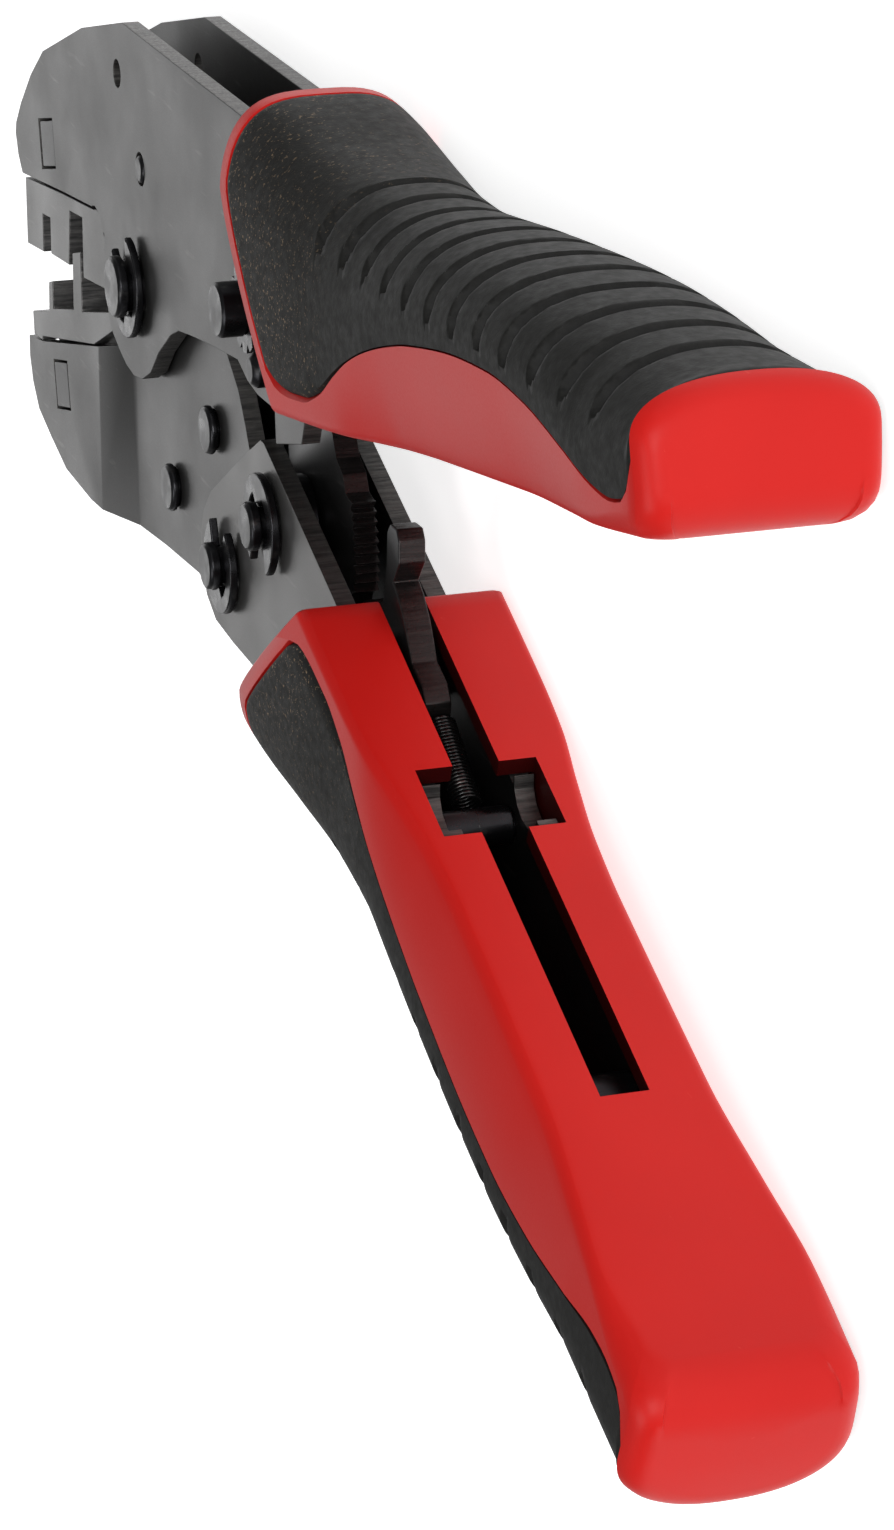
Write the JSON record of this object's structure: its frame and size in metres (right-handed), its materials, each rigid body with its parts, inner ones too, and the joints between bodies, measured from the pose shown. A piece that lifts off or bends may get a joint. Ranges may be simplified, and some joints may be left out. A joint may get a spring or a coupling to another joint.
{
  "type": "modular plug crimping pliers",
  "caption": "Ratchet crimping pliers for modular network plugs: steel plate frame, two-nest die set, toggle linkage with ratchet pawl, and two-tone moulded grips.",
  "frame": {"origin": "centre of the tool's bounding box at its underside, as it lies on its side on a bench", "axes": "+X from the jaws to the grip ends, +Y from the moving grip to the fixed grip, +Z across the tool towards the retaining clips"},
  "size_m": [0.2366, 0.101, 0.0224],
  "materials": {
    "blackened_plate": "blackened, satin",
    "die_steel": "blackened, ground",
    "black_oxide": "black oxide, satin",
    "spring_steel": "drawn wire",
    "red_plastic": "moulded, fine satin",
    "soft_overlay": "moulded soft grip, fine texture"
  },
  "bodies": {
    "frame": {"frame_plate_near": "blackened_plate", "frame_plate_far": "blackened_plate", "upper_die": "die_steel", "upper_die_key": "die_steel", "frame_rivet": "black_oxide", "frame_tang_rivet": "black_oxide", "pivot_pin": "black_oxide", "pivot_clip": "black_oxide", "upper_grip_shell": "red_plastic", "upper_grip_overlay": "soft_overlay"},
    "adjuster": {"eccentric_pin": "black_oxide", "star_wheel": "black_oxide", "eccentric_clip": "black_oxide"},
    "lock_screw": {"lock_screw": "spring_steel"},
    "jaw": {"jaw_plate_near": "blackened_plate", "jaw_plate_far": "blackened_plate", "lower_die": "die_steel", "lower_die_key": "die_steel", "jaw_rivet_front": "black_oxide", "jaw_rivet_rear": "black_oxide", "jaw_bush": "black_oxide", "handle_pin": "black_oxide", "handle_pin_clip": "black_oxide"},
    "link": {"toggle_link": "black_oxide"},
    "handle": {"handle_plate_near": "blackened_plate", "handle_plate_far": "blackened_plate", "link_pin": "black_oxide", "link_pin_clip": "black_oxide", "link_washer_near": "black_oxide", "link_washer_far": "black_oxide", "pawl_pin": "black_oxide", "pawl_washer_near": "black_oxide", "pawl_washer_far": "black_oxide", "spring_anchor_pin": "black_oxide", "handle_tang_rivet": "black_oxide", "lower_grip_shell": "red_plastic", "lower_grip_overlay": "soft_overlay", "pawl_spring": "spring_steel"},
    "pawl": {"ratchet_pawl": "black_oxide"}
  },
  "joints": [
    {"name": "jaw_pivot", "type": "hinge", "parent": "frame", "child": "jaw", "pos_m": [-0.06228, 0.013, 0.0112], "axis": [0, 0, 1], "range_deg": [-8.5, 0]},
    {"name": "handle_pivot", "type": "hinge", "parent": "jaw", "child": "handle", "pos_m": [-0.02428, -0.0083, 0.0112], "axis": [0, 0, 1], "range_deg": [0, 31.2]},
    {"name": "link_pivot", "type": "hinge", "parent": "frame", "child": "link", "pos_m": [-0.01228, 0.0233, 0.0112], "axis": [0, 0, 1], "range_deg": [-21.4, 0]},
    {"name": "pawl_pivot", "type": "hinge", "parent": "handle", "child": "pawl", "pos_m": [0.01822, -0.0065, 0.0112], "axis": [0, 0, 1], "range_deg": [-12, 12], "stiffness_Nm_per_rad": 0.06, "deforming": ["pawl_spring"]},
    {"name": "adjuster_turn", "type": "hinge", "parent": "frame", "child": "adjuster", "pos_m": [-0.01228, 0.0233, 0.0112], "axis": [0, 0, 1], "range_deg": [-150, 150]},
    {"name": "lock_screw_turn", "type": "hinge", "parent": "frame", "child": "lock_screw", "pos_m": [-0.00778, 0.0179, 0.0112], "axis": [0, 0, 1], "range_deg": [0, 360]}
  ],
  "couplings": [
    {"joint": "jaw_pivot", "follows": "handle_pivot", "ratio": -0.27226},
    {"joint": "link_pivot", "follows": "handle_pivot", "ratio": -0.68436}
  ]
}
